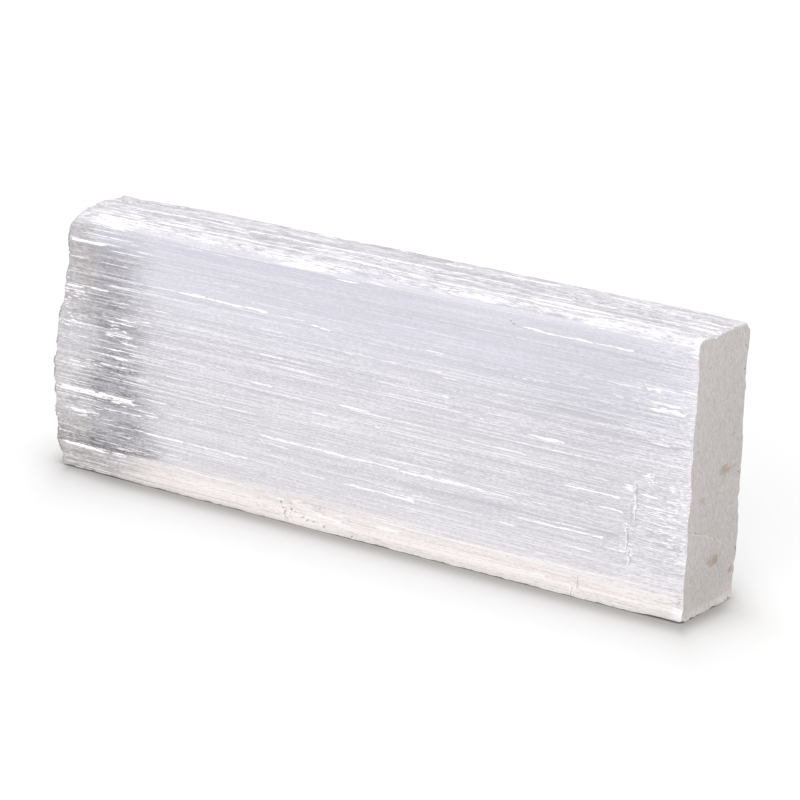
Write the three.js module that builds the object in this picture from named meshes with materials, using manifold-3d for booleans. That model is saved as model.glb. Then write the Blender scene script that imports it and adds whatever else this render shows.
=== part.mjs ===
// A rough bar of satin spar, the fibrous kind of selenite (gypsum), lying on a long narrow side.
//
// It is one crystal mass, so it is one solid. Its fibres run along X. The broad faces and the top are
// split along the fibres: they carry low ridges and grooves, scars where flakes tore off, and thin
// splinters that stand a little proud. The end at +X is sawn square. The end at -X is broken, and
// its fibre bundles end at different lengths.
//
// Frame, in millimetres: the origin is under the middle of the bar, on the face it rests on.
// +X runs along the fibres to the sawn end, -Y is the front broad face, and +Z is up.

import * as THREE from 'three';
import { mergeVertices } from 'three/addons/utils/BufferGeometryUtils.js';
import Module from 'manifold-3d';

// Driving dimensions
const LENGTH = 167;
const THICKNESS = 22.8;
const HEIGHT = 60.9;

// Arris radii of the long edges
const FRONT_TOP_RADIUS = 2;
const BACK_TOP_RADIUS = 1.2;
const BACK_FOOT_RADIUS = 1;
const FRONT_FOOT_RADIUS = 0.6;

// Fibre lanes: bands along X whose edges are the ridges and grooves of the split faces
const LANE_WIDTHS = [0.9, 2.1];
const UNDERSIDE_LANE_WIDTH = 5;
const GROOVE_DEPTH = 0.3;
const TOP_GROOVE_DEPTH = 0.45;
const GROOVE_DRIFT = 0.4;
const GROOVE_DRIFT_LENGTH = 18;
const RING_SPACING = 6.6;
const RING_JITTER = 1.8;
const RING_JITTER_RATE = 1.7;

// Broad shape of the faces
const HOLLOW_DEPTH = 0.65;
const HOLLOW_HEIGHT = 51;
const HOLLOW_SPREAD = 5;
const HOLLOW_DRIFT = 0.3;
const HOLLOW_DRIFT_LENGTH = 70;
const FOOT_LEAN = 0.2;
const FOOT_BAND = 8;
const BACK_SWELL = 0.8;
const BACK_SWELL_HEIGHT = 17;
const BACK_SWELL_SPREAD = 14;
const UNDERSIDE_LIFT = 0.55;
const UNDERSIDE_LIFT_START = 30;

// Broken end: how far it reaches past the middle of its plane, as [height, reach]
const BREAK_OUTLINE = [
  [0, -1.3], [2.5, 0.2], [6, 1.6], [10, 2.4], [18, 2.8], [25, 2.7], [33, 2.1],
  [40, 0.6], [46, -0.1], [54, -0.6], [HEIGHT, -1.2],
];
const BREAK_PLANE = -80.5;
const BROKEN_CORNER = 3.2;
const BROKEN_CORNER_HEIGHT = 4.8;
const BUNDLE_STEP = 0.4;
const BUNDLE_SHIFT = 0.9;
const BUNDLE_GRID = [10, 27];

// Turns about X that lay a cutter or a splinter on a face: its own +Z becomes the outward normal
const FRONT = Math.PI / 2;
const TOP = 0;
const BACK = -Math.PI / 2;
const FRONT_ARRIS = Math.PI / 4;
const BACK_ARRIS = -Math.PI / 4;

const HALF_LENGTH = LENGTH / 2;
const HALF_THICKNESS = THICKNESS / 2;

const wasm = await Module();
wasm.setup();

// Repeatable random numbers between low and high
function seededRandom(seed) {
  let state = seed;
  return (low = 0, high = 1) => {
    state = (state + 0x6d2b79f5) | 0;
    let mixed = Math.imul(state ^ (state >>> 15), state | 1);
    mixed ^= mixed + Math.imul(mixed ^ (mixed >>> 7), mixed | 61);
    return low + (high - low) * (((mixed ^ (mixed >>> 14)) >>> 0) / 4294967296);
  };
}

// Smooth random curve between -1 and 1, one wave about every two units
function softCurve(seed) {
  const random = seededRandom(seed);
  const values = Array.from({ length: 64 }, () => random(-1, 1));
  return (t) => {
    const place = ((t % 64) + 64) % 64;
    const index = Math.floor(place);
    const blend = THREE.MathUtils.smoothstep(place - index, 0, 1);
    return THREE.MathUtils.lerp(values[index], values[(index + 1) % 64], blend);
  };
}

// Straight-line reading of a list of [key, value] points
function readOutline(outline, key) {
  const next = outline.findIndex((point) => point[0] >= key);
  if (next === -1) return outline.at(-1)[1];
  if (next === 0) return outline[0][1];
  const [before, after] = [outline[next - 1], outline[next]];
  return THREE.MathUtils.mapLinear(key, before[0], after[0], before[1], after[1]);
}

// Cross-section of the bar, anticlockwise seen from +X, drawn in Y and Z
function barSection() {
  const path = new THREE.Path();
  const [left, right] = [-HALF_THICKNESS, HALF_THICKNESS];
  const corner = (y, z, radius, turns) => {
    path.absarc(y, z, radius, turns * Math.PI / 2, (turns + 1) * Math.PI / 2, false);
  };
  path.moveTo(left + FRONT_FOOT_RADIUS, 0);
  path.lineTo(right - BACK_FOOT_RADIUS, 0);
  corner(right - BACK_FOOT_RADIUS, BACK_FOOT_RADIUS, BACK_FOOT_RADIUS, -1);
  path.lineTo(right, HEIGHT - BACK_TOP_RADIUS);
  corner(right - BACK_TOP_RADIUS, HEIGHT - BACK_TOP_RADIUS, BACK_TOP_RADIUS, 0);
  path.lineTo(left + FRONT_TOP_RADIUS, HEIGHT);
  corner(left + FRONT_TOP_RADIUS, HEIGHT - FRONT_TOP_RADIUS, FRONT_TOP_RADIUS, 1);
  path.lineTo(left, FRONT_FOOT_RADIUS);
  corner(left + FRONT_FOOT_RADIUS, FRONT_FOOT_RADIUS, FRONT_FOOT_RADIUS, 2);
  return path;
}

// Deepest groove between two lanes, on a face whose outward normal rises by normalZ
function deepestGroove(underneath, normalZ) {
  if (underneath) return 0;
  return THREE.MathUtils.lerp(GROOVE_DEPTH, TOP_GROOVE_DEPTH, Math.max(0, normalZ));
}

// Lane edges round the section: each has a place, an outward normal, a groove depth and its own
// slow drift along the fibres
function laneEdges() {
  const random = seededRandom(7);
  const section = barSection();
  const around = section.getLength();
  const edges = [];
  let distance = 0;
  while (distance < around - LANE_WIDTHS[0]) {
    const place = section.getPoint(distance / around);
    const tangent = section.getTangent(distance / around);
    const underneath = place.y < 0.01;
    edges.push({
      y: place.x,
      z: place.y,
      normalY: tangent.y,
      normalZ: -tangent.x,
      groove: random(0, deepestGroove(underneath, -tangent.x)),
      drift: softCurve(100 + edges.length),
      jitter: softCurve(400 + edges.length),
    });
    distance += underneath ? UNDERSIDE_LANE_WIDTH : random(...LANE_WIDTHS);
  }
  return edges;
}

// 1 at the middle, falling away smoothly over the spread on either side
function bump(value, middle, spread) {
  return Math.exp(-(((value - middle) / spread) ** 2));
}

// How far the face stands back from the section at one place, apart from the lanes' own grooves
function standBack(edge, x) {
  const front = Math.max(0, -edge.normalY);
  const back = Math.max(0, edge.normalY);
  const drift = 1 - HOLLOW_DRIFT + HOLLOW_DRIFT * edge.drift(x / HOLLOW_DRIFT_LENGTH);
  const hollow = HOLLOW_DEPTH * bump(edge.z, HOLLOW_HEIGHT, HOLLOW_SPREAD) * drift;
  const lean = FOOT_LEAN * (1 - THREE.MathUtils.smoothstep(edge.z, 0, FOOT_BAND));
  const flat = BACK_SWELL * (1 - bump(edge.z, BACK_SWELL_HEIGHT, BACK_SWELL_SPREAD));
  return front * (hollow + lean) + back * flat;
}

// The block of fibres, from the sawn end to a little past the broken one
function fibreBlock() {
  const edges = laneEdges();
  const pastBreak = 6;
  const start = BREAK_PLANE - pastBreak;
  const rings = Math.round((HALF_LENGTH - start) / RING_SPACING);
  const positions = [];
  for (let ring = 0; ring <= rings; ring += 1) {
    const level = THREE.MathUtils.lerp(start, HALF_LENGTH, ring / rings);
    const inner = ring > 0 && ring < rings;
    for (const edge of edges) {
      const x = level + (inner ? RING_JITTER * edge.jitter(ring * RING_JITTER_RATE) : 0);
      const drift = 1 - GROOVE_DRIFT + GROOVE_DRIFT * edge.drift(x / GROOVE_DRIFT_LENGTH);
      const depth = edge.groove * drift + standBack(edge, x);
      const lift = UNDERSIDE_LIFT * THREE.MathUtils.smoothstep(-x, UNDERSIDE_LIFT_START, HALF_LENGTH);
      const z = Math.max(edge.z - edge.normalZ * depth, lift);
      positions.push(x, edge.y - edge.normalY * depth, z);
    }
  }
  return closeRings(positions, edges.length, rings);
}

// Skins rings of points, one after another along +X, and closes both ends
function closeRings(positions, count, rings) {
  const index = [];
  for (let ring = 0; ring < rings; ring += 1) {
    for (let step = 0; step < count; step += 1) {
      const here = ring * count + step;
      const beside = ring * count + ((step + 1) % count);
      index.push(here, beside, beside + count, here, beside + count, here + count);
    }
  }
  for (const ring of [0, rings]) {
    const first = ring * count;
    const outline = [];
    for (let step = 0; step < count; step += 1) {
      const at = 3 * (first + step);
      outline.push(new THREE.Vector2(positions[at + 1], positions[at + 2]));
    }
    for (const [a, b, c] of THREE.ShapeUtils.triangulateShape(outline, [])) {
      const face = [first + a, first + b, first + c];
      index.push(...(ring === 0 ? face.reverse() : face));
    }
  }
  const geometry = new THREE.BufferGeometry();
  geometry.setAttribute('position', new THREE.Float32BufferAttribute(positions, 3));
  geometry.setIndex(index);
  return geometry;
}

// Everything beyond the broken end: a box whose +X face is the break, worn back at the front top
// corner, with the fibre bundles as uneven steps
function breakCutter() {
  const random = seededRandom(31);
  const [across, up] = BUNDLE_GRID;
  const depth = 20;
  const margin = 1.5;
  const height = HEIGHT + 2 * margin;
  const geometry = new THREE.BoxGeometry(depth, THICKNESS + 2 * margin, height, 1, across, up);
  const merged = bareGeometry(geometry);
  const place = merged.getAttribute('position');
  for (let i = 0; i < place.count; i += 1) {
    if (place.getX(i) < 0) {
      place.setX(i, BREAK_PLANE - depth);
      place.setZ(i, place.getZ(i) + HEIGHT / 2);
      continue;
    }
    const onRim = Math.abs(place.getY(i)) > HALF_THICKNESS || Math.abs(place.getZ(i)) > HEIGHT / 2;
    const shift = onRim ? 0 : BUNDLE_SHIFT;
    const y = place.getY(i) + random(-shift, shift);
    const z = place.getZ(i) + random(-shift, shift) + HEIGHT / 2;
    const worn = BROKEN_CORNER * THREE.MathUtils.smoothstep(-y, 0, HALF_THICKNESS)
      * THREE.MathUtils.smoothstep(z, HEIGHT - BROKEN_CORNER_HEIGHT, HEIGHT);
    const reach = readOutline(BREAK_OUTLINE, z) - worn + random(-BUNDLE_STEP, BUNDLE_STEP);
    place.setXYZ(i, BREAK_PLANE - reach, y, z);
  }
  return merged;
}

// A flake scar: a step of full depth at its start, rising to nothing at its far end. Its outline
// is ragged at the step and narrows towards the end. A negative length makes it run towards -X.
function scarCutter(length, width, depth) {
  const outline = [
    [0, -0.5], [0.3, -0.46], [1, -0.2], [1, 0.12], [0.55, 0.34], [0.2, 0.5],
    [0.02, 0.42], [0.05, 0.1], [-0.02, -0.12],
  ].map(([u, v]) => new THREE.Vector2(u * Math.abs(length), v * width));
  const above = 2;
  const geometry = bareGeometry(
    new THREE.ExtrudeGeometry(new THREE.Shape(outline), { depth: above, bevelEnabled: false }));
  const place = geometry.getAttribute('position');
  for (let i = 0; i < place.count; i += 1) {
    const floor = THREE.MathUtils.mapLinear(place.getX(i), 0, Math.abs(length), -depth, 0.1);
    if (place.getZ(i) === 0) place.setZ(i, floor);
  }
  return length < 0 ? geometry.rotateZ(Math.PI) : geometry;
}

// A splinter, or a slit where one fell out: a long thin spindle, half sunk in the face
function spindle(length, width, height) {
  return bareGeometry(new THREE.OctahedronGeometry(1)).scale(length / 2, width / 2, height);
}

function onFace(geometry, turn, [x, y, z]) {
  return geometry.rotateX(turn).translate(x, y, z);
}

// Position and index alone, with shared corners merged
function bareGeometry(geometry) {
  geometry.deleteAttribute('normal');
  geometry.deleteAttribute('uv');
  return mergeVertices(geometry, 1e-4);
}

function toSolid(geometry) {
  const merged = bareGeometry(geometry);
  return new wasm.Manifold(new wasm.Mesh({
    numProp: 3,
    vertProperties: new Float32Array(merged.getAttribute('position').array),
    triVerts: new Uint32Array(merged.index.array),
  }));
}

function toGeometry(solid) {
  const { vertProperties, triVerts } = solid.getMesh();
  const geometry = new THREE.BufferGeometry();
  geometry.setAttribute('position', new THREE.BufferAttribute(vertProperties, 3));
  geometry.setIndex(new THREE.BufferAttribute(triVerts, 1));
  return geometry;
}

// Scars that can be told apart: face, place of the step, length, width and depth
const SCARS = [
  // long narrow scar under the front top arris
  { turn: FRONT, at: [38.5, 55.6], size: [30, 1.5, 0.7] },
  // stepped fracture near the sawn end, in three pieces
  { turn: FRONT, at: [70.2, 23.4], size: [11, 8.4, 0.45] },
  { turn: FRONT, at: [67.8, 16], size: [13, 6.2, 0.4] },
  { turn: FRONT, at: [69.8, 11.2], size: [11, 3.4, 0.4] },
  // flake torn from the front foot, and a notch further along
  { turn: FRONT, at: [-18, 2.2], size: [21, 5.2, 1.1] },
  { turn: FRONT, at: [57, 1.8], size: [2.4, 4.4, 1.2] },
  // small flakes near the sawn end and in the middle
  { turn: FRONT, at: [71.5, 48.3], size: [5, 1.6, 0.5] },
  { turn: FRONT, at: [24.5, 36.6], size: [-18, 0.9, 0.4] },
  // broken ledges on the top
  { turn: TOP, at: [-76, 6.4], size: [30, 5, 0.7] },
  { turn: TOP, at: [12, 8], size: [-38, 3.6, 0.6] },
  { turn: TOP, at: [74, 3], size: [-52, 3.2, 0.55] },
  // back face
  { turn: BACK, at: [-58, 14], size: [44, 7, 0.9] },
  { turn: BACK, at: [63, 33], size: [-36, 5, 0.7] },
  { turn: BACK, at: [10, 47], size: [34, 4, 0.6] },
  { turn: BACK, at: [-30, 4], size: [-26, 6, 1] },
];

// Splinters that can be told apart: face, middle, length, width and height
const SPLINTERS = [
  { turn: FRONT, at: [-70.5, 18.7], size: [23, 1.5, 0.4] },
  { turn: FRONT, at: [-73.5, 5.6], size: [13, 1.3, 0.45] },
  { turn: FRONT, at: [-74.5, 53.6], size: [11, 1.2, 0.35] },
  { turn: FRONT, at: [-64, 12.5], size: [26, 1.1, 0.3] },
  { turn: FRONT, at: [-66, 33.5], size: [20, 1, 0.3] },
  { turn: TOP, at: [-42, 3.2], size: [64, 1.3, 0.35] },
  { turn: TOP, at: [-14, -4.6], size: [44, 1.2, 0.35] },
  { turn: TOP, at: [50, -5.6], size: [58, 1.3, 0.35] },
];

// A point on a face, from its place along the fibres and across the face
function facePoint(turn, [x, across], sunk = 0) {
  if (turn === FRONT) return [x, -HALF_THICKNESS + sunk, across];
  if (turn === BACK) return [x, HALF_THICKNESS - sunk, across];
  return [x, across, HEIGHT - sunk];
}

// Scattered small scars and splinters: how many, on which face, and over what band across it
const SCATTER = [
  { turn: FRONT, band: [6, 56], scars: 7, splinters: 14 },
  { turn: BACK, band: [5, 56], scars: 16, splinters: 14 },
  { turn: TOP, band: [-7, 8], scars: 8, splinters: 8 },
];
const SCATTER_SUNK = 0.25;

// Facets finer than this are smoothed away
const FINEST_EDGE = 0.03;

function scatteredPieces() {
  const random = seededRandom(88);
  const scars = [];
  const splinters = [];
  for (const { turn, band, scars: scarCount, splinters: splinterCount } of SCATTER) {
    for (let i = 0; i < scarCount; i += 1) {
      const along = random() < 0.5 ? 1 : -1;
      const size = [along * random(8, 26), random(0.9, 2.8), random(0.25, 0.5)];
      scars.push({ turn, at: [random(-72, 72), random(...band)], size });
    }
    for (let i = 0; i < splinterCount; i += 1) {
      const size = [random(10, 34), random(0.8, 1.4), random(0.2, 0.4)];
      splinters.push({ turn, at: [random(-64, 60), random(...band)], size });
    }
  }
  return { scars, splinters };
}

// Chips along the two top arrises and the front foot, where short lengths of fibre broke away
function arrisChips() {
  const random = seededRandom(53);
  const chips = [];
  const arrises = [
    { turn: FRONT_ARRIS, y: -HALF_THICKNESS + 0.7, z: HEIGHT - 0.7, count: 16 },
    { turn: BACK_ARRIS, y: HALF_THICKNESS - 0.4, z: HEIGHT - 0.4, count: 10 },
    { turn: FRONT_ARRIS + Math.PI / 2, y: -HALF_THICKNESS + 1, z: 0.4, count: 9 },
  ];
  for (const { turn, y, z, count } of arrises) {
    for (let i = 0; i < count; i += 1) {
      const x = THREE.MathUtils.lerp(-76, 78, (i + random(0.1, 0.9)) / count);
      chips.push(onFace(spindle(random(5, 15), random(1.2, 2.6), random(0.3, 0.6)), turn, [x, y, z]));
    }
  }
  return chips;
}

// Short flakes that the saw tore out along the arrises of the sawn end
function sawChips() {
  const random = seededRandom(19);
  const chips = [];
  const arrises = [
    { turn: FRONT, band: [3, 57], count: 9 },
    { turn: BACK, band: [3, 57], count: 9 },
    { turn: TOP, band: [-9, 9], count: 4 },
  ];
  for (const { turn, band, count } of arrises) {
    for (let i = 0; i < count; i += 1) {
      const across = THREE.MathUtils.lerp(...band, (i + random(0.1, 0.9)) / count);
      const cutter = scarCutter(-random(2.5, 8), random(1.6, 5), random(0.3, 0.7));
      chips.push(onFace(cutter, turn, facePoint(turn, [HALF_LENGTH + 0.4, across], SCATTER_SUNK)));
    }
  }
  return chips;
}

// Corners of the sawn end, knocked off: places along Y and Z, and how much is lost
const LOST_CORNERS = [
  [-HALF_THICKNESS, 0, 1.6], [HALF_THICKNESS, 0, 1.3],
  [-HALF_THICKNESS, HEIGHT, 1.8], [HALF_THICKNESS, HEIGHT, 2],
];

function cornerChips() {
  return LOST_CORNERS.map(([y, z, lost]) => spindle(1.6 * lost, 2 * lost, lost)
    .translate(HALF_LENGTH, y, z));
}

// Moves and scales the bar, by under one part in fifty, to fill its driving box exactly
function settle(geometry) {
  geometry.computeBoundingBox();
  const { min, max } = geometry.boundingBox;
  geometry.translate(-(min.x + max.x) / 2, -(min.y + max.y) / 2, -min.z);
  return geometry.scale(
    LENGTH / (max.x - min.x), THICKNESS / (max.y - min.y), HEIGHT / (max.z - min.z));
}

function seleniteBar() {
  const scattered = scatteredPieces();
  let bar = toSolid(fibreBlock());
  for (const { turn, at, size } of [...SPLINTERS, ...scattered.splinters]) {
    bar = bar.add(toSolid(onFace(spindle(...size), turn, facePoint(turn, at, SCATTER_SUNK))));
  }
  for (const { turn, at, size } of [...SCARS, ...scattered.scars]) {
    bar = bar.subtract(toSolid(onFace(scarCutter(...size), turn, facePoint(turn, at, SCATTER_SUNK))));
  }
  for (const chip of [...arrisChips(), ...sawChips(), ...cornerChips()]) {
    bar = bar.subtract(toSolid(chip));
  }
  bar = bar.subtract(toSolid(breakCutter()));
  // the crumbs that the cuts leave loose fall away
  const [body] = bar.simplify(FINEST_EDGE).decompose().sort((a, b) => b.volume() - a.volume());
  const material = new THREE.MeshStandardMaterial({ color: 0xdedce4, roughness: 0.4, metalness: 0 });
  const mesh = new THREE.Mesh(settle(toGeometry(body)), material);
  mesh.name = 'selenite_bar';
  return mesh;
}

const model = new THREE.Group();
model.add(seleniteBar());

export default model;
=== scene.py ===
"""Finishes the selenite bar: split fibrous faces, a broken end, a sawn end and loose torn fibres."""

import math
from functools import reduce
from operator import or_

import bpy
import numpy as np
from mathutils import Matrix, Vector
from mathutils.bvhtree import BVHTree
from mathutils.kdtree import KDTree


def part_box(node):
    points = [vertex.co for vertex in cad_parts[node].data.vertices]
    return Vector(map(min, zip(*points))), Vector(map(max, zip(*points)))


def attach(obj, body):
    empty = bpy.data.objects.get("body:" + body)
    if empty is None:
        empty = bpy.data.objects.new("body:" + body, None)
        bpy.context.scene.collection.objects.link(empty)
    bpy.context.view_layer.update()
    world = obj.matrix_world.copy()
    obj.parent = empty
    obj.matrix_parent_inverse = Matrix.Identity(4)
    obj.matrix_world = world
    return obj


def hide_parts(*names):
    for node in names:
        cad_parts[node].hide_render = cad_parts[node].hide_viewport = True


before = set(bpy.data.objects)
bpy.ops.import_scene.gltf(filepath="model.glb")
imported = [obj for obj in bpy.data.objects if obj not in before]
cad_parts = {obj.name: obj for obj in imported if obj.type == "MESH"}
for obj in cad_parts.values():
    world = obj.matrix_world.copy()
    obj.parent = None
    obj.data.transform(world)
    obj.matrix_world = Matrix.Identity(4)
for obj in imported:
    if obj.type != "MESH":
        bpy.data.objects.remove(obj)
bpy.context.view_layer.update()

MM = 0.001
NODE = "selenite_bar"
BODY = "root"

LOW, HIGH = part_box(NODE)
CENTRE = (LOW + HIGH) / 2
THICKNESS = HIGH.y - LOW.y
HEIGHT = HIGH.z - LOW.z

# ---------------------------------------------------------------- skin of the bar

CORNER_RADII = {"back_foot": 1.0 * MM, "back_top": 1.8 * MM, "front_top": 1.8 * MM, "front_foot": 0.2 * MM}
CORNER_FAN = 2.6 * MM  # how far in from both faces the rays that find a corner start
COLUMN_STEP = {"front": 0.3 * MM, "top": 0.32 * MM, "back": 0.42 * MM, "under": 0.9 * MM}
CORNER_COLUMNS = 16
RING_STEP = 0.92 * MM
RINGS_END = 0.8 * MM  # how far before the saw cut the evenly spaced rings end
CRACK_RINGS = (-0.3, -0.05, 0.1, 0.35)  # extra rings beside each crack, in mm
SAW_RINGS = (0.6, 0.3, 0.12, 0)  # extra rings before the saw cut, in mm
LEAST_GAP = 0.12 * MM
END_RINGS = {"broken": 22, "sawn": 3}
CAST_FROM = 4 * MM  # how far outside the bar a ray starts
CAST_REACH = 60 * MM
CAST_INSET = {"broken": 0.05 * MM, "sawn": 0.02 * MM}  # how far inside each end the rays stay
RIM_DEPTH = 2.4 * MM  # how far in from the box a side may lie before it counts as part of the broken end
RIM_RINGS = 3  # rings that may lie as deep as that
RIM_INSET = 0.4 * MM  # how far in from the sides the break's steps are read for its rim
BREAK_SEARCH = 12 * MM  # how far along the bar a side's start is looked for
BREAK_SEARCH_STEP = 0.2 * MM
BREAK_FADE = 26 * MM  # how far along the bar the rings still follow the ragged rim of the break

CALMING = {"front": 0.8, "back": 0.5, "top": 0.4, "under": 0.3}  # share of the lanes' relief smoothed away
CALM_COLUMNS = 9

# Depth of the fibres, their bundles and the plates split off, then the size of each across and along
FIBRE_RELIEF = 0.05 * MM
BUNDLE_RELIEF = 0.06 * MM
LEDGE_DROP = 0.05 * MM
FIBRE_SIZE = (0.42 * MM, 26 * MM)
BUNDLE_SIZE = (1.15 * MM, 40 * MM)
PLATE_SIZE = (2.6 * MM, 17 * MM)
FOOT_BITE = 0.4 * MM
FOOT_BITE_DEPTH = 0.9 * MM  # how far in under the bar the bites reach
# Where the front's foot is bitten: place along X where that starts, where it is full, and how strong
FOOT_BITTEN = [(-50 * MM, -62 * MM, 1), (-26 * MM, -16 * MM, 0.75)]
FOOT_CHIP = 0.2 * MM
FOOT_CHIP_HEIGHT = 0.8 * MM
FOOT_FILLED = 0.95  # share of the lanes' relief left out at the foot of the front
FOOT_HEIGHTS = (4 * MM, 0.5 * MM)  # it comes in between these heights,
FOOT_DISTANCES = (6 * MM, 3 * MM)  # between these distances in from the front,
FOOT_PLACES = (-72 * MM, -54 * MM)  # and between these places along the bar
UNDER_FILLED = 0.85  # share of it left out on the flat underside
UNDER_RELIEF = 0.3  # share of the fibres' depth on the underside
# Height lost by the top towards the broken end, more still along its back, and where each comes in
TOP_LOST = 0.2 * MM
TOP_LOST_PLACES = (-8 * MM, -20 * MM)
BACK_OF_TOP_LOST = 0.35 * MM
BACK_OF_TOP_PLACES = (-50 * MM, -76 * MM)
BACK_OF_TOP = (-2 * MM, 5 * MM)  # how far back that starts and is full
ARRIS_WEAR = 0.25 * MM
ARRIS_WIDTH = 0.7 * MM
# Corners worn round beside the saw cut: the angle round the corner that loses most, and how much it loses
SAWN_ROUND = {"back_top": (58, 1.0 * MM), "front_foot": (45, 0.45 * MM)}
SAWN_ROUND_ANGLE = 42  # half width of the worn part round the corner, in degrees
SAWN_ROUND_ALONG = 12 * MM  # how far before the saw cut the wear starts
SAWN_ROUND_FULL = 5 * MM  # and how far before it the wear is full
BREAK_ROUND = 0.7  # share of that wear on the upper corners by the break
BREAK_ROUND_PLACES = (-70 * MM, -78 * MM)
# Hollows in the back edge of the sawn face: middle and half height, then depth, in mm
SAWN_BITES = [(51, 5.5, 0.5), (38, 3, 0.2), (22, 2.4, 0.4), (7.8, 2, 0.55), (3.4, 3, 0.3)]
BREAK_CELLS = 420
BREAK_STEP = 0.7 * MM
BREAK_MEAN = 0.35 * MM  # the steps stand out as far as they stand back
BREAK_JUMP = 1.6 * MM  # the most that the break changes from one ring to the next
RIM_STEP = 0.8  # share of the break's steps that shows round its rim
RIM_JITTER = 0.12 * MM
SAWN_CALM = 9 * MM
WELD_DISTANCE = 0.01 * MM
SHARP_FROM = math.radians(38)

# Cracks across the fibres of the front: place along X, lowest and highest Z, then the drop of the side
# to the right, in mm
CRACKS = [
    (71, 19.3, 27.8, 0.14), (69.4, 12.9, 19, 0.14), (70.3, 9.6, 12.9, 0.14),
]
CRACK_FADE = 5 * MM


def smooth(low, high, values):
    """Smooth step from 0 at low to 1 at high."""
    share = np.clip((values - low) / (high - low), 0, 1)
    return share * share * (3 - 2 * share)


def fibre_field(seed, across, along, across_step, along_step):
    """Random field from 0 to 1 over a face, drawn out along the fibres. All lengths in one unit."""
    lattice = np.random.default_rng(seed).random((512, 64))

    def strand(row):
        row = row % 512
        b = along / along_step + lattice[row, 0] * 64
        b0 = np.floor(b).astype(int)
        share = smooth(0, 1, b - b0)
        return lattice[row, b0 % 64] * (1 - share) + lattice[row, (b0 + 1) % 64] * share

    a = across / across_step
    a0 = np.floor(a).astype(int)
    share = smooth(0, 1, a - a0)
    return strand(a0) * (1 - share) + strand(a0 + 1) * share


def corner_reach(angle, radius):
    """Distance from the start of a corner's fan of rays to the rounded corner, at an angle in the fan."""
    across, up = math.cos(angle), math.sin(angle)
    inset = CORNER_FAN - radius
    reach = CORNER_FAN / max(across, up)
    if reach * min(across, up) > inset:
        along = inset * (across + up)
        reach = along + math.sqrt(along * along - 2 * inset * inset + radius * radius)
    return reach


class Columns:
    """Lines along the bar, one for each point round its rounded section."""

    def __init__(self):
        corners = {
            "back_foot": (HIGH.y, LOW.z, -1, 1), "back_top": (HIGH.y, HIGH.z, -1, -1),
            "front_top": (LOW.y, HIGH.z, 1, -1), "front_foot": (LOW.y, LOW.z, 1, 1),
        }
        middles = {name: (y + inward_y * CORNER_FAN, z + inward_z * CORNER_FAN)
                   for name, (y, z, inward_y, inward_z) in corners.items()}
        sides = [
            ("under", (middles["front_foot"][0], LOW.z), (middles["back_foot"][0], LOW.z), "back_foot"),
            ("back", (HIGH.y, middles["back_foot"][1]), (HIGH.y, middles["back_top"][1]), "back_top"),
            ("top", (middles["back_top"][0], HIGH.z), (middles["front_top"][0], HIGH.z), "front_top"),
            ("front", (LOW.y, middles["front_top"][1]), (LOW.y, middles["front_foot"][1]), "front_foot"),
        ]
        spots, calming, rounding = [], [], []
        for turn, (face, start, end, corner) in enumerate(sides):
            facing = (turn - 1) * math.pi / 2
            steps = round(math.dist(start, end) / COLUMN_STEP[face])
            for i in range(steps):
                y, z = (a + (b - a) * i / steps for a, b in zip(start, end))
                spots.append((y, z, math.cos(facing), math.sin(facing)))
            rounding += [0] * (steps + CORNER_COLUMNS)
            for i in range(CORNER_COLUMNS):
                turned = i / CORNER_COLUMNS * math.pi / 2
                ny, nz = math.cos(facing + turned), math.sin(facing + turned)
                reach = corner_reach(turned, CORNER_RADII[corner])
                spots.append((middles[corner][0] + reach * ny, middles[corner][1] + reach * nz, ny, nz))
                most, lost = SAWN_ROUND.get(corner, (45, 0))
                worn = smooth(SAWN_ROUND_ANGLE, 0, abs(math.degrees(turned) - most))
                rounding[i - CORNER_COLUMNS] = lost * worn
            calming += [CALMING[face]] * (steps + CORNER_COLUMNS)
        spots = np.array(spots)
        self.spots = spots[:, :2]
        self.normals = spots[:, 2:]
        self.heights = self.spots[:, 1] - LOW.z
        self.calming = np.array(calming)
        self.rounding = np.array(rounding)
        gaps = np.hypot(*(np.roll(self.spots, -1, 0) - self.spots).T)
        self.walked = np.concatenate([[0], np.cumsum(gaps)[:-1]])
        self.count = len(spots)


def cast(tree, origin, direction):
    """Where a ray first meets the surface, or None."""
    hit = tree.ray_cast(Vector(origin), Vector(direction), CAST_REACH)[0]
    return None if hit is None else np.array(hit)


def break_reach(points):
    """How far each bundle of fibres stands back at the broken end, at points of y and z."""
    rng = np.random.default_rng(5)
    tree = KDTree(BREAK_CELLS)
    middles = rng.uniform((LOW.y, LOW.z), (HIGH.y, HIGH.z), (BREAK_CELLS, 2))
    for i, (y, z) in enumerate(middles):
        tree.insert((0, y, z), i)
    tree.balance()
    steps = rng.uniform(0, 1, BREAK_CELLS) ** 1.5 * BREAK_STEP
    tilts = rng.uniform(-0.35, 0.35, (BREAK_CELLS, 2))
    reach = []
    for y, z in points:
        i = tree.find((0, y, z))[1]
        reach.append(steps[i] + abs(tilts[i] @ ((y, z) - middles[i])))
    return np.array(reach) - BREAK_MEAN


def side_depth(tree, columns, j, x):
    """How far in from the rounded box the side lies, or None where there is no side at x."""
    (y, z), (ny, nz) = columns.spots[j], columns.normals[j]
    hit = cast(tree, (x, y + ny * CAST_FROM, z + nz * CAST_FROM), (0, -ny, -nz))
    if hit is None:
        return None
    return (y - hit[1]) * ny + (z - hit[2]) * nz


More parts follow.
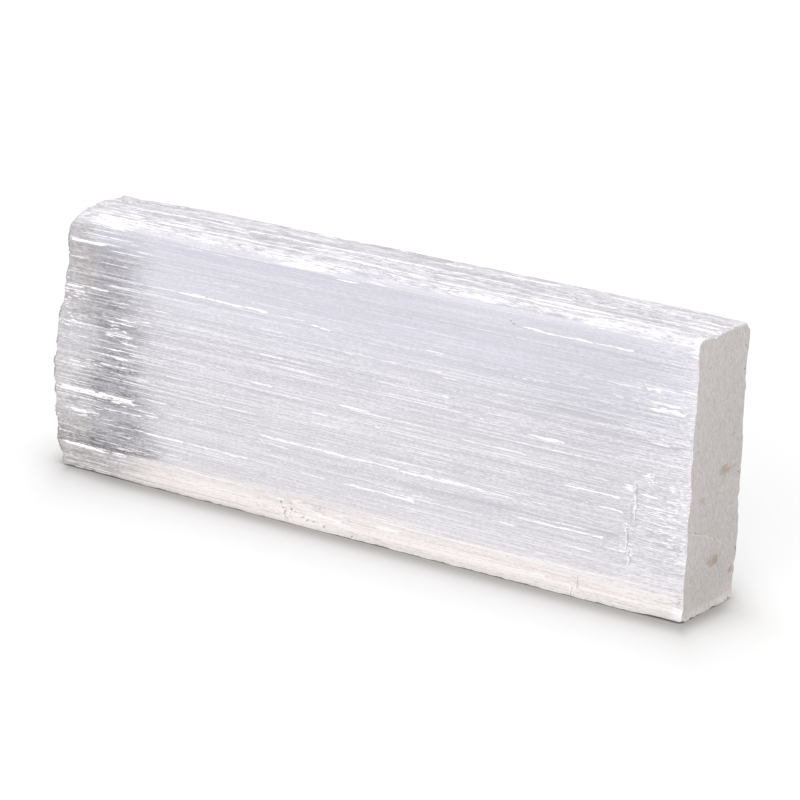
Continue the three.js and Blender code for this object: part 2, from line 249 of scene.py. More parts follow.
def side_starts(tree, columns):
    """Where each column's side begins at the broken end, with single stray columns evened out."""
    starts = []
    for j in range(columns.count):
        x = LOW.x + BREAK_SEARCH_STEP / 2
        while x < LOW.x + BREAK_SEARCH:
            depth = side_depth(tree, columns, j, x)
            if depth is not None and depth < RIM_DEPTH:
                break
            x += BREAK_SEARCH_STEP
        starts.append(x)
    starts = np.array(starts)
    around = np.stack([np.roll(starts, k) for k in range(-3, 4)])
    return np.median(around, 0)


def ring_places():
    """Nominal places of the rings along X, closer together at the cracks and at the sawn end."""
    places = list(np.arange(LOW.x, HIGH.x - RINGS_END, RING_STEP))
    for x, *_ in CRACKS:
        places += [x * MM + step * MM for step in CRACK_RINGS]
    places += [HIGH.x - step * MM for step in SAW_RINGS]
    places = sorted(places)
    kept = [places[0]]
    for x in places[1:]:
        if x - kept[-1] > LEAST_GAP:
            kept.append(x)
    kept[-1] = HIGH.x
    return np.array(kept)


def skin_points(tree, columns):
    """Places of the skin's vertices: the rings along the bar, then the rings that close each end."""
    starts = side_starts(tree, columns)
    starts = starts + break_reach(columns.spots - columns.normals * RIM_INSET) * RIM_STEP
    starts += np.random.default_rng(8).normal(0, RIM_JITTER, columns.count)
    nominal = ring_places()
    fade = 1 - smooth(LOW.x, LOW.x + BREAK_FADE, nominal)
    rings = np.empty((len(nominal), columns.count, 3))
    for i, x in enumerate(nominal):
        rings[i, :, 0] = x + (starts - LOW.x) * fade[i]
    depths = calm(solid_depths(tree, columns, rings), columns, rings[:, :, 0])
    depths *= lanes_kept(rings[:, :, 0], columns)
    depths += relief(rings[:, :, 0], columns)
    for axis in (0, 1):
        rings[:, :, axis + 1] = columns.spots[:, axis] - columns.normals[:, axis] * depths
    rings[:, :, 2] = np.maximum(rings[:, :, 2], LOW.z + foot_bites(rings))
    return rings, close_end(tree, rings[0]), end_rings(rings[-1], END_RINGS["sawn"])


def solid_depths(tree, columns, rings):
    """How far in the solid's own sides lie along every column; a hollow of the break is bridged."""
    depths = np.zeros(rings.shape[:2])
    for j in range(columns.count):
        for i in range(len(rings)):
            x = min(rings[i, j, 0] + CAST_INSET["broken"], HIGH.x - CAST_INSET["sawn"])
            depth = side_depth(tree, columns, j, x)
            if depth is None or depth > RIM_DEPTH:
                depth = RIM_DEPTH if i < RIM_RINGS else depths[i - 1, j]
            depths[i, j] = depth
    return depths


def lanes_kept(x, columns):
    """Share of the lanes' relief that stays: little at the foot of the front and on the underside."""
    foot = smooth(*FOOT_HEIGHTS, columns.heights) * smooth(*FOOT_DISTANCES, columns.spots[:, 0] - LOW.y)
    foot = foot * smooth(*FOOT_PLACES, x)
    under = smooth(0, -1, columns.normals[:, 1])
    return (1 - FOOT_FILLED * foot) * (1 - UNDER_FILLED * under)


def calm(depths, columns, x):
    """Softens the lanes of the solid's sides, most of all where the saw cut them off."""
    width = CALM_COLUMNS // 2
    mean = depths
    for _ in range(2):
        mean = np.mean([np.roll(mean, k, 1) for k in range(-width, width + 1)], 0)
    near_saw = smooth(HIGH.x - SAWN_CALM, HIGH.x, x)
    return depths + (mean - depths) * np.maximum(columns.calming, 0.95 * near_saw)


def relief(x, columns):
    """Depth of all that is finer than the solid, at places of x on every column."""
    return (fibre_relief(x, columns) + crack_drops(x, columns) + foot_chips(x, columns)
            + lost_height(x, columns) + worn_edges(x, columns))


def fibre_relief(x, columns):
    """Depth of the fibres, their bundles and the plates split off them."""
    s = np.broadcast_to(columns.walked, x.shape)
    fibres = fibre_field(11, s, x, *FIBRE_SIZE)
    bundles = fibre_field(12, s, x, *BUNDLE_SIZE)
    plates = fibre_field(13, s, x, *PLATE_SIZE)
    ledges = smooth(0.56, 0.6, plates) + smooth(0.74, 0.78, plates)
    depth = FIBRE_RELIEF * fibres + BUNDLE_RELIEF * bundles + LEDGE_DROP * ledges
    return depth * np.where(columns.normals[:, 1] < -0.9, UNDER_RELIEF, 1)


def crack_drops(x, columns):
    """Depth of the front just beyond each crack."""
    z = columns.heights / MM
    depth = np.zeros(x.shape)
    for place, low, high, drop in CRACKS:
        on = smooth(low - 0.3, low + 0.1, z) * smooth(high + 0.3, high - 0.1, z)
        on = on * (columns.normals[:, 0] < -0.5)
        beyond = x - place * MM
        depth += drop * MM * on * (beyond > 0) * smooth(CRACK_FADE, 0, beyond)
    return depth


def foot_chips(x, columns):
    """Depth of the small chips along the very foot of the front."""
    chip = smooth(0.35, 0.85, fibre_field(15, x * 0, x, 1, 1.5 * MM))
    chip = chip * fibre_field(16, x * 0, x, 1, 0.6 * MM)
    lowest = smooth(FOOT_CHIP_HEIGHT, 0, columns.heights)
    return FOOT_CHIP * chip * lowest * (columns.normals[:, 0] < -0.3)


def lost_height(x, columns):
    """Height that the top has lost towards the broken end, most of all along its back."""
    behind = smooth(*BACK_OF_TOP, columns.spots[:, 0])
    depth = TOP_LOST * smooth(*TOP_LOST_PLACES, x)
    depth += BACK_OF_TOP_LOST * smooth(*BACK_OF_TOP_PLACES, x) * behind
    return depth * (columns.normals[:, 1] > 0.3)


def worn_edges(x, columns):
    """Depth worn off the corners near both ends, out of the sawn face's back edge, and round its arris."""
    near_saw = smooth(HIGH.x - SAWN_ROUND_ALONG, HIGH.x - SAWN_ROUND_FULL, x)
    near_break = smooth(*BREAK_ROUND_PLACES, x) * (columns.normals[:, 1] > 0)
    depth = columns.rounding * (near_saw + near_break * BREAK_ROUND)
    for height, tall, bite in SAWN_BITES:
        hollow = smooth(tall, 0, abs(columns.heights / MM - height)) * (columns.normals[:, 0] > 0.5)
        depth += bite * MM * hollow * smooth(HIGH.x - SAWN_ROUND_ALONG, HIGH.x, x)
    s = np.broadcast_to(columns.walked, x.shape)
    worn = smooth(HIGH.x - ARRIS_WIDTH, HIGH.x, x) ** 2
    chips = 0.25 + 1.6 * smooth(0.45, 0.95, fibre_field(14, s, s, 1.7 * MM, 3 * MM))
    return depth + ARRIS_WEAR * worn * chips


def foot_bites(rings):
    """How far the foot is eaten away upwards along its edges; the front's is whole for a stretch."""
    x, y = rings[:, :, 0], rings[:, :, 1]
    bites = np.zeros(x.shape)
    front = sum(strength * smooth(start, full, x) for start, full, strength in FOOT_BITTEN)
    for seed, inward, share in ((31, y - LOW.y, front), (32, HIGH.y - y, 1)):
        size = smooth(0.35, 0.95, fibre_field(seed, x * 0 + seed, x, 1, 1.7 * MM))
        size = size * (0.35 + 0.65 * fibre_field(seed + 5, x * 0, x, 1, 0.55 * MM))
        bites = np.maximum(bites, FOOT_BITE * size * share * smooth(FOOT_BITE_DEPTH, 0, inward))
    return bites


def end_rings(rim, count):
    """Rings that shrink from an end's rim to the line down its middle."""
    half = THICKNESS / 2
    middle = rim.copy()
    middle[:, 1] = CENTRE.y
    middle[:, 2] = np.clip(rim[:, 2], LOW.z + half, HIGH.z - half)
    return [rim + (middle - rim) * share for share in np.linspace(0, 1, count + 1)[1:]]


def close_end(tree, rim):
    """Rings over the broken end, on the solid's own break and roughened by bundle."""
    rings = end_rings(rim, END_RINGS["broken"])
    last = rim[:, 0]
    for ring in rings:
        reach = break_reach(ring[:, 1:])
        for j, (_, y, z) in enumerate(ring):
            hit = cast(tree, (LOW.x - CAST_FROM, y, z), (1, 0, 0))
            wanted = last[j] if hit is None else hit[0] + reach[j]
            ring[j, 0] = np.clip(wanted, last[j] - BREAK_JUMP, last[j] + BREAK_JUMP)
        last = ring[:, 0].copy()
    return rings


def mesh_object(name, points, faces):
    """A new object in the scene, from its points and faces."""
    mesh = bpy.data.meshes.new(name)
    mesh.from_pydata([tuple(p) for p in points], [], faces)
    mesh.validate()
    piece = bpy.data.objects.new(name, mesh)
    bpy.context.scene.collection.objects.link(piece)
    return piece


def weld(piece, distance):
    """Joins points that lie together, as along the middle line of each end."""
    bpy.context.view_layer.objects.active = piece
    modifier = piece.modifiers.new("weld", "WELD")
    modifier.merge_threshold = distance
    bpy.ops.object.modifier_apply(modifier=modifier.name)


def ring_faces(first, second, count, flip=False):
    """Quads between two rings of points, given where each ring starts."""
    faces = []
    for j in range(count):
        k = (j + 1) % count
        quad = (first + j, first + k, second + k, second + j)
        faces.append(quad[::-1] if flip else quad)
    return faces


def bar_skin():
    """The whole bar's surface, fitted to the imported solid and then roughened."""
    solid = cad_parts[NODE].data
    tree = BVHTree.FromPolygons([v.co for v in solid.vertices], [p.vertices for p in solid.polygons])
    columns = Columns()
    rings, broken, sawn = skin_points(tree, columns)
    count = columns.count
    points = np.concatenate([rings.reshape(-1, 3), *broken, *sawn])
    faces = []
    for i in range(len(rings) - 1):
        faces += ring_faces(i * count, (i + 1) * count, count)
    last = 0
    for i in range(len(broken)):
        here = (len(rings) + i) * count
        faces += ring_faces(last, here, count, flip=True)
        last = here
    split_faces = len(faces)
    last = (len(rings) - 1) * count
    for i in range(len(sawn)):
        here = (len(rings) + len(broken) + i) * count
        faces += ring_faces(last, here, count)
        last = here
    points = np.clip(points, np.array(LOW), np.array(HIGH))
    piece = mesh_object("split_bar", points, faces)
    rim = np.zeros(len(points))
    rim[:count] = 1
    attribute = piece.data.attributes.new("rim", "FLOAT", "POINT")
    attribute.data.foreach_set("value", rim)
    finishes = np.zeros(len(faces), int)
    finishes[split_faces:] = 1
    piece.data.polygons.foreach_set("material_index", finishes)
    weld(piece, WELD_DISTANCE)
    piece.data.shade_smooth()
    piece.data.set_sharp_from_angle(angle=SHARP_FROM)
    return piece


# ---------------------------------------------------------------- torn fibres

class Side:
    """A side of the bar that torn fibres lie on: its outward direction, and where it is measured from."""

    def __init__(self, out, across, origin):
        self.out = Vector(out).normalized()
        self.across = Vector(across).normalized()
        self.origin = Vector(origin)
        self.flip = Vector((1, 0, 0)).cross(self.across).dot(self.out) < 0

    def place(self, tree, x, across):
        """Point of the surface at x along the bar and at a distance across this side."""
        start = self.origin + self.across * across + self.out * CAST_FROM
        start.x = x
        return tree.ray_cast(start, -self.out, SLIVER_CAST)[0]


SLIVER_CAST = 30 * MM
EDGE = CORNER_RADII["front_top"] * 0.3
SIDES = {
    "front": Side((0, -1, 0), (0, 0, 1), (0, LOW.y, LOW.z)),
    "back": Side((0, 1, 0), (0, 0, 1), (0, HIGH.y, LOW.z)),
    "top": Side((0, 0, 1), (0, 1, 0), (0, CENTRE.y, HIGH.z)),
    "front_arris": Side((0, -1, 1), (0, 1, 1), (0, LOW.y + EDGE, HIGH.z - EDGE)),
    "back_arris": Side((0, 1, 1), (0, -1, 1), (0, HIGH.y - EDGE, HIGH.z - EDGE)),
}

# Torn lines that can be told apart, by side and boldness: the place across, then the two ends along X.
# Lengths in mm; across is Z on the front and back, and Y from the middle on the top.
TORN_LINES = {
    "front": {
        "bold": [
            (46.5, -49, -24), (18.2, 12, 21), (12.2, 11, 16.5), (36.8, 20.5, 24), (48.3, 71, 75),
            (44.4, 73, 81), (53.7, -73, -69), (25.7, 71.5, 76), (32.8, 46, 52), (18.4, -8, -2),
            (18.3, 22, 30), (12.3, -56, -46),
        ],
        "strong": [
            (38, -63, -56), (37.4, -66, -60), (36.4, -68, -61), (33.4, -68, -61), (32, -64, -59),
            (30, -68, -62), (30, -28, -22), (29.5, -4, 4), (26.3, -70, -60), (23.9, 53, 67),
            (18.4, -25, 12), (18.2, 21, 42), (17.2, -60, -54), (15.9, -68, -58), (14.4, 42, 63.5),
            (12.3, -60, -28), (12.2, -2, 11), (10, -65, -61), (55.4, 41, 68), (57.3, -6, 0),
            (45.7, 73, 80), (49.3, 79.5, 83), (12.5, 64, 69.5), (21, 62, 68), (23.3, 72, 81),
            (18.3, 26, 34), (43.2, -76, -68), (7, -65, -60), (45.7, -12, -7), (32.8, 44, 53),
            (25.5, 76, 83), (14, -76, -70), (20.2, -57, -51), (16.7, -57, -53), (46, 17, 22),
            (28.2, -66, -62), (5.8, -66, -62),
        ],
        "plain": [
            (46.6, -70, -49), (46.3, -24, -14), (42, 18, 22), (41, 22, 26), (42.8, -28, -20),
            (36.8, 6, 21), (31.4, 30, 38), (29.6, -62, -50), (28.3, 28, 44), (27, 57, 64),
            (26.3, -76, -71), (26.4, -13, -7), (26.5, 8, 22), (22.9, -54, -26), (20.2, 71, 81),
            (18.4, -23, -10), (18.3, -3, 12), (16.8, -25, -17), (15.9, -77, -68), (12.3, -70, -60),
            (12.2, -28, -7), (12.2, 36, 42), (35.3, 76, 83), (33.2, 67, 82), (33.3, 28, 41),
            (36, 52, 58), (37.2, 73, 78), (57.4, 74, 78), (48, 62, 70), (21.8, 72, 82), (18.8, 73, 82),
            (16.4, 71, 80), (14.6, 72, 81), (41.2, -71, -64), (49.6, -71, -63), (44.9, -69, -60),
            (8.6, -58, -46), (24.4, -66, -56), (40.1, 36, 46), (10.7, 52, 61), (19.6, 30, 46),
            (5.9, -50, -30), (5.6, 8, 34), (2.8, 28, 50), (6.2, 60, 82), (34.7, 5, 24), (39.2, -46, -34),
            (31, -52, -40),
        ],
        "faint": [
            (46.7, -79, -70), (36.8, 24, 44), (36.5, -45, -30), (29.5, -43, -28), (29.6, -22, -5),
            (26.3, -28, -15), (26.4, 22, 32), (18.1, 32, 46), (50.8, -69, -60), (52, -60, -36),
            (50, 4, 30), (43.6, 40, 66), (39.8, -20, 4), (34, -58, -30), (24.6, -20, 6), (21.6, 8, 40),
            (15.4, -46, -22), (14, -18, 10), (10.4, -40, -4), (9.2, 20, 52), (28, 4, 26),
            (31.8, -14, 14), (38.6, 50, 66), (22.4, 36, 52), (53, 20, 50), (54.6, -40, -10),
            (48, -30, 2), (41.4, 44, 70), (16.2, 50, 66), (8.2, -30, 8),
        ],
    },
    "top": {
        "broad": [
            (0.4, -76, -24), (0.2, -26, 32), (-6.2, -58, 2), (-7.6, 18, 84), (-5.8, 40, 60),
            (-9, -62, -52), (-1, 46, 58), (-2, 38, 48), (5.8, 5, 18), (6, 25, 40), (-4.4, -56, -46),
            (-6.8, -2, 14), (-5.6, -76, -62), (-7.6, -76, -60), (-9.4, -75, -62), (-0.6, 74, 82),
            (-3, 76, 83),
        ],
        "bold": [
            (-1.6, -46, -36), (3.2, -54, -44), (-2.4, 60, 80), (5.4, -30, -16), (-2.6, 8, 26),
            (-4.2, -14, -6), (-8.8, -44, -26), (-9.4, 30, 50), (2.4, 70, 82), (6.4, 52, 62),
            (-3, -76, -66), (-2, -20, -10),
        ],
    },
    "back": {
        "strong": [(41, -70, -10), (27, 5, 70), (15, -40, 30), (52, 20, 64), (8, -70, -34)],
        "plain": [(34, -50, 10), (21, -76, -50), (46, 30, 76), (11, 44, 80), (37, 8, 40), (55, -60, -20)],
    },
}
# Width in mm and whiteness of each kind of line
BOLDNESS = {
    "broad": (1.2, 1), "bold": (0.62, 1), "strong": (0.42, 0.95), "plain": (0.3, 0.75),
    "faint": (0.22, 0.5),
}

# Solid white ridges that end in a ragged step: side, place across, start, blunt end, width
RIDGES = [
    ("front", 18.7, -81.4, -60, 0.9), ("front", 5.6, -79.6, -68, 0.6), ("front", 53.6, -79.2, -70, 0.5),
    ("front", 13.8, -77.6, -72, 0.4), ("front", 42.9, -79.6, -75, 0.35),
]

# White patches of many torn fibres: side, middle along X and across, length, width, number of slivers
TORN_PATCHES = [
    ("front", 73.6, 48.2, 4, 0.5, 5), ("front", 77, 45, 7, 0.9, 6), ("front", 69.4, 26.5, 2.6, 1, 7),
    ("front", 74, 30.4, 2.6, 0.4, 5), ("front", 74.4, 29, 2, 0.6, 4), ("front", -74, 13.6, 9, 1.4, 7),
    ("front", -77, 36, 6, 4, 16), ("front", -76, 41, 6, 2, 12), ("front", -65, 34.5, 8, 3, 16),
    ("front", -63, 18, 6, 1, 10), ("front", -79.5, 38, 3, 12, 18), ("front", 79, 22, 7, 14, 26),
    ("front", -13, 4.8, 9, 0.9, 14), ("front", -4, 4.4, 8, 0.6, 8), ("front", 69.6, 17.8, 2, 0.5, 4),
    ("front", 70.2, 12.2, 1.6, 0.8, 5), ("front_arris", -15, -0.6, 22, 1.1, 40),
    ("front_arris", 60, 0.4, 16, 1.1, 30), ("front_arris", -66, 0, 20, 1.4, 34),
    ("front_arris", 30, 0.2, 24, 0.7, 20), ("front_arris", 76, 0.3, 12, 1.2, 16),
]

# Loose slivers scattered over each side, in short rows along one line: side, number of rows, lowest
# and highest place across, widest sliver in mm, and how the rows gather at the lower end of the range
SCATTERED = [
    ("front", 230, 7, 46, 0.24, 1.2), ("front", 34, 46, 59, 0.2, 1), ("front", 40, 0.8, 8, 0.24, 1),
    ("back", 240, 1, 59, 0.32, 1), ("top", 130, -9.6, 9.6, 0.6, 1),
    ("front_arris", 80, -1, 1, 0.4, 1), ("back_arris", 70, -1, 1, 0.4, 1),
]
ROW_SLIVERS = 6
END_CLUSTER = 0.34  # share of the scattered rows that gather by the two ends
SOLID_WHITE = 2.5  # whiteness that leaves few gaps in a ridge
SLIVER_STEP = 0.8  # length of sliver, in mm, between the points of its outline


class Torn:
    """Collects slivers of torn fibre into one mesh, with how white each one is."""

    def __init__(self, tree):
        self.tree = tree
        self.rng = np.random.default_rng(21)
        self.points, self.faces, self.white = [], [], []

    def sliver(self, name, x, across, length, width, white, blunt=False):
        """One low ridge with a ragged outline, pointed at each end, or blunt where it breaks off short."""
        side, rng = SIDES[name], self.rng
        steps = int(np.clip(length / SLIVER_STEP, 3, 26))
        height = 0.04 + width * 0.1
        points = []
        for i in range(steps + 1):
            share = i / steps
            taper = min(1, 4 * share, (30 if blunt else 4) * (1 - share)) ** 0.7
            half = width / 2 * taper * rng.uniform(0.85 if blunt else 0.55, 1)
            across += rng.normal(0, 0.05) * min(width, 0.8)
            crest = rng.uniform(-0.3, 0.3) * half
            lift = height * taper * rng.uniform(0.35, 1)
            for aside, rise in ((-half, 0), (crest, lift), (half, 0)):
                spot = side.place(self.tree, (x + (share - 0.5) * length) * MM, (across + aside) * MM)
                if spot is None:
                    return
                points.append(spot + side.out * rise * MM)
        base = len(self.points)
        faces = []
        for i in range(steps):
            here, after = base + 3 * i, base + 3 * i + 3
            faces += [(here + a, after + a, after + b, here + b) for a, b in ((0, 1), (1, 2), (2, 0))]
        tip = base + 3 * steps
        faces += [(base, base + 1, base + 2), (tip + 2, tip + 1, tip)]
        self.points += points
        self.faces += [face[::-1] for face in faces] if side.flip else faces
        self.white += [white] * len(points)

    def line(self, name, across, start, end, width, white):
        """A long white line: slivers that overlap end to end, wander a little and leave a few gaps."""
        rng = self.rng
        x = start
        while x < end - 0.5:
            length = min(rng.uniform(2.5, 11), end - x + 0.5)
            self.sliver(name, x + length / 2, across + rng.normal(0, 0.2) * min(width, 0.6), length,
                        width * rng.uniform(0.6, 1.15), white * rng.uniform(0.8, 1))
            x += length * rng.uniform(0.35, 0.85)

    def ridge(self, name, across, start, end, width):
        """A solid white ridge, broken off short at its end, with finer slivers splitting from its edges."""
        rng = self.rng
        length = end - start
        for shift, share in ((0, 1), (0.3, 0.8), (-0.3, 0.6)):
            long = length * share
            self.sliver(name, start + long / 2, across + shift * width, long, width * (0.85 - abs(shift)),
                        SOLID_WHITE, True)
        for _ in range(round(length * 1.6)):
            x = rng.uniform(start, end)
            self.sliver(name, x, across + rng.choice((-0.5, 0.5)) * width * rng.uniform(0.7, 1.2),
                        rng.uniform(1, 4), rng.uniform(0.15, 0.3), rng.uniform(0.8, 1))

    def patch(self, name, x, across, length, width, count):
        """A white patch: slivers side by side, densest in its middle."""
        rng = self.rng
        for _ in range(count):
            along = rng.normal(0, 0.27) * length
            room = max(0.25, 1 - abs(along) / length)
            self.sliver(name, x + along, across + rng.normal(0, 0.4) * width * room,
                        0.5 + rng.uniform(0.06, 0.3) * length, rng.uniform(0.2, 0.42), rng.uniform(0.7, 1))

    def rows(self, name, count, low, high, widest, gather):
        """Short rows of slivers scattered over a side, gathered towards the two ends of the bar."""
        rng = self.rng
        half = (HIGH.x - LOW.x) / 2 / MM
        for _ in range(count):
            x = rng.uniform(-half, half)
            if rng.random() < END_CLUSTER:
                x = rng.choice((-1, 1)) * (half - abs(rng.normal(0, 0.16)) * 2 * half * 0.45 - 1)
            across = low + (high - low) * rng.random() ** gather
            width = widest * rng.uniform(0.6, 1.2)
            white = rng.uniform(0.3, 0.85)
            for _ in range(rng.integers(2, ROW_SLIVERS + 1)):
                length = rng.uniform(1, 6)
                if -half + 2.5 < x - length / 2 and x + length / 2 < half - 0.3:
                    self.sliver(name, x, np.clip(across + rng.normal(0, 0.12), low, high), length,
                                width * rng.uniform(0.6, 1), white * rng.uniform(0.7, 1))
                x += length * rng.uniform(0.6, 1.8)

    def piece(self):
        """The slivers collected so far, as one object."""
        made = mesh_object("torn_fibres", self.points, self.faces)
        white = made.data.attributes.new("white", "FLOAT", "POINT")
        white.data.foreach_set("value", self.white)
        return made


def torn_fibres(tree):
    """All the torn fibres of the bar, as one piece."""
    torn = Torn(tree)
    for ridge in RIDGES:
        torn.ridge(*ridge)
    for side, kinds in TORN_LINES.items():
        for kind, lines in kinds.items():
            for line in lines:
                torn.line(side, *line, *BOLDNESS[kind])
    for patch in TORN_PATCHES:
        torn.patch(*patch)
    for rows in SCATTERED:
        torn.rows(*rows)
    return torn.piece()


# ---------------------------------------------------------------- shader maths

class Wire:
    """A socket that carries a value, a colour or a vector; arithmetic on values adds Math nodes."""

    def __init__(self, tree, socket=None):
        self.tree = tree
        self.socket = socket

    def node(self, kind, settings, inputs, output=0):
        """A new node: its type, its settings, its inputs' values or links, and the output used."""
        made = self.tree.nodes.new(kind)
        for name, value in settings.items():
            if name == "stops":
                set_stops(made.color_ramp, value)
            else:
                setattr(made, name, value)
        for name, value in inputs.items():
            if isinstance(value, Wire):
                self.tree.links.new(value.socket, made.inputs[name])
            else:
                made.inputs[name].default_value = value
        return Wire(self.tree, made.outputs[output] if made.outputs else None)

    def math(self, operation, *values):
        return self.node("ShaderNodeMath", {"operation": operation}, dict(enumerate(values)))

    def vector(self, operation, *values, output=0):
        """Vector maths; output 1 is a plain value, such as a distance."""
        return self.node("ShaderNodeVectorMath", {"operation": operation}, dict(enumerate(values)), output)

    def __add__(self, other):
        return self.math("ADD", self, other)

    def __sub__(self, other):
        return self.math("SUBTRACT", self, other)

    def __rsub__(self, other):
        return self.math("SUBTRACT", other, self)

    def __mul__(self, other):
        return self.math("MULTIPLY", self, other)

    __radd__, __rmul__ = __add__, __mul__

    def __or__(self, other):
        """Either mask, whichever is the stronger."""
        return self.math("MAXIMUM", self, other)

    def step(self, low, high):
        """0 at low, 1 at high, smooth between; low may be the larger one."""
        return self.node("ShaderNodeMapRange", {"interpolation_type": "SMOOTHSTEP"},
                         {"Value": self, "From Min": low, "From Max": high})

    def bell(self, middle, width):
        """1 at the middle, falling to 0 at a width either side."""
        return self.math("ABSOLUTE", self - middle).step(width, 0)

    def between(self, low, high, blur):
        """1 from low to high, with soft edges."""
        return self.step(low - blur, low + blur) * self.step(high + blur, high - blur)

    def to_segment(self, start, end):
        """Distance of this point from a straight line between two points."""
        run = end - start
        offset = self.vector("SUBTRACT", self, start)
        share = self.vector("DOT_PRODUCT", offset, run / run.dot(run), output=1)
        share = self.node("ShaderNodeClamp", {}, {"Value": share})
        nearest = self.node("ShaderNodeVectorMath", {"operation": "SCALE"}, {0: run, "Scale": share})
        return self.vector("DISTANCE", offset, nearest, output=1)

    def by_height(self, stops):
        """Value that follows stops of height and share, for a height in mm up the bar."""
        places = [(height * MM / HEIGHT, grey(share)) for height, share in stops]
        return self.node("ShaderNodeValToRGB", {"stops": places}, {"Fac": self * (MM / HEIGHT)})

    def mix(self, start, end):
        """Colour between start and end, by this value."""
        return self.node("ShaderNodeMix", {"data_type": "RGBA"},
                         {"Factor": self, 6: start, 7: end}, output=2)


def set_stops(ramp, stops):
    """Gives a ramp its stops of position and colour."""
    while len(ramp.elements) < len(stops):
        ramp.elements.new(0.5)
    for element, (position, shade) in zip(ramp.elements, stops):
        element.position = position
        element.color = shade


def colour(red, green, blue):
    """A shader colour from one written as on a screen, 0 to 255."""
    def linear(value):
        share = value / 255
        return share / 12.92 if share <= 0.04045 else ((share + 0.055) / 1.055) ** 2.4
    return (linear(red), linear(green), linear(blue), 1)


def grey(share):
    """A neutral shader colour."""
    return (share, share, share, 1)


def start_material(name):
    """A new empty material, and the wire that its nodes are made with."""
    material = bpy.data.materials.new(name)
    material.use_nodes = True
    material.node_tree.nodes.clear()
    return material, Wire(material.node_tree)


def finish_material(wire, shader):
    wire.node("ShaderNodeOutputMaterial", {}, {"Surface": shader})


class Place:
    """Where a point lies on the bar, in millimetres, and the noises laid out from it."""

    def __init__(self, wire):
        local = wire.node("ShaderNodeTexCoord", {}, {}, "Object")
        self.spot = wire.node("ShaderNodeVectorMath", {"operation": "SCALE"}, {0: local, "Scale": 1000})
        self.x, self.y, self.z = (
            wire.node("ShaderNodeSeparateXYZ", {}, {"Vector": self.spot}, axis) for axis in "XYZ")

    def strands(self, along, across, shift=0, detail=2):
        """Noise drawn out along the fibres: its grain along X and across it, in millimetres."""
        scale = (1 / along, 1 / across, 1 / across)
        drawn = self.spot.vector("MULTIPLY_ADD", self.spot, scale, (shift, shift, shift))
        return self.spot.node("ShaderNodeTexNoise", {}, {"Vector": drawn, "Scale": 1, "Detail": detail})

    def cloud(self, grain, shift=0, detail=2):
        """Noise with the same grain every way."""
        return self.strands(grain, grain, shift, detail)

    def saw_grain(self, across, up, detail):
        """Noise on the sawn face: how fine it is across and up, per millimetre."""
        drawn = self.spot.vector("MULTIPLY", self.spot, (1, across, up))
        return self.spot.node("ShaderNodeTexNoise", {}, {"Vector": drawn, "Scale": 1, "Detail": detail})

    def spot_at(self, y, z, radius):
        """Mask of a small round spot on an end of the bar."""
        return self.y.bell(y, radius) * self.z.bell(z, radius)


# ---------------------------------------------------------------- materials

CLEAR_UPPER = colour(202, 200, 211)
CLEAR_LOWER = colour(203, 200, 205)
# Painted glow of light from the floor, in the foot of the front
FOOT_GLOW = colour(241, 233, 230)
CLEAR_DARK = colour(106, 103, 108)
CLEAR_DARKEST = colour(72, 69, 72)
BREAK_GREY = colour(156, 149, 145)
PALE_LOWER = colour(212, 209, 214)
FOOT_SHADE = colour(226, 219, 215)
TORN_WHITE = colour(254, 253, 255)
# Painted shade in the cracks of the front
CRACK_SHADE = colour(170, 158, 156)
NICK_BROWN = colour(150, 138, 128)
HAZE = colour(212, 209, 215)
SHADE = colour(186, 183, 194)
TOP_PALE = colour(202, 197, 202)
FOOT_BROWN = colour(206, 190, 181)
# Painted shade in the notches along the rim of the break
RIM_NOTCH_SHADE = colour(134, 128, 118)
TOP_DARK = colour(175, 170, 174)
# Painted shade along the back arris of the top
BACK_ARRIS_SHADE = colour(158, 154, 154)
# Painted glow of light coming through from the saw cut
END_GLOW = colour(219, 214, 217)
PALE_LINE = colour(236, 235, 240)
DARK_LINE = colour(166, 162, 170)
# Painted highlight along the upper arris
ARRIS_HIGHLIGHT = colour(226, 224, 230)

# How dark the clear zone by the break is, and how grey the outermost strip beyond it, by height in mm
CLEAR_BY_HEIGHT = [
    (0, 0.34), (3, 0.64), (5, 0.5), (6.5, 1), (9, 0.98), (12, 0.74), (16, 0.78), (20, 0.84), (25, 1),
    (30, 0.76), (35, 0.8), (40, 0.8), (45, 0.66), (50, 0.58), (53, 0.44), (56, 0.14),
]
GREY_BY_HEIGHT = [
    (0, 0.2), (3, 0.6), (5, 0.35), (7, 0.6), (9, 0.6), (12, 0.5), (16, 0.45), (20, 0.4), (25, 0.4),
    (30, 0.2), (35, 0.4), (40, 0.6), (50, 0.66), (55, 0.62), (58, 0.4),
]


def body_colour(place):
    """Colour of the split gypsum: pale and clouded, with a painted glow of light from the floor along its
    foot, and a dark zone by the break.
    """
    x, z = place.x, place.z
    body = z.step(22, 54).mix(CLEAR_LOWER, CLEAR_UPPER)
    body = z.step(18, 9).mix(body, PALE_LOWER)
    haze = place.strands(90, 5, 3).step(0.35, 0.65)
    body = (haze * 0.35).mix(body, HAZE)
    shade = place.strands(90, 2.4, 9, 3).step(0.4, 0.75)
    body = (shade * 0.3).mix(body, SHADE)
    body = (x.bell(60, 30) * z.bell(42, 28) * 0.12).mix(body, CLEAR_DARK)
    # Painted light: the foot is pale and warm as if lit from the floor, turning beige-grey towards the
    # break
    foot = (z + place.strands(24, 1.1, 5, 3) * 3 - 1.5).step(8.6, 4)
    body = foot.mix(body, x.step(-61, -40).mix(FOOT_SHADE, FOOT_GLOW))
    warm_lines = place.strands(30, 0.4, 26, 2).step(0.47, 0.58) * z.step(6.4, 4)
    body = (warm_lines * (0.1 + x.bell(-62, 20) * 0.7)).mix(body, FOOT_BROWN)
    return break_zone(place, body)


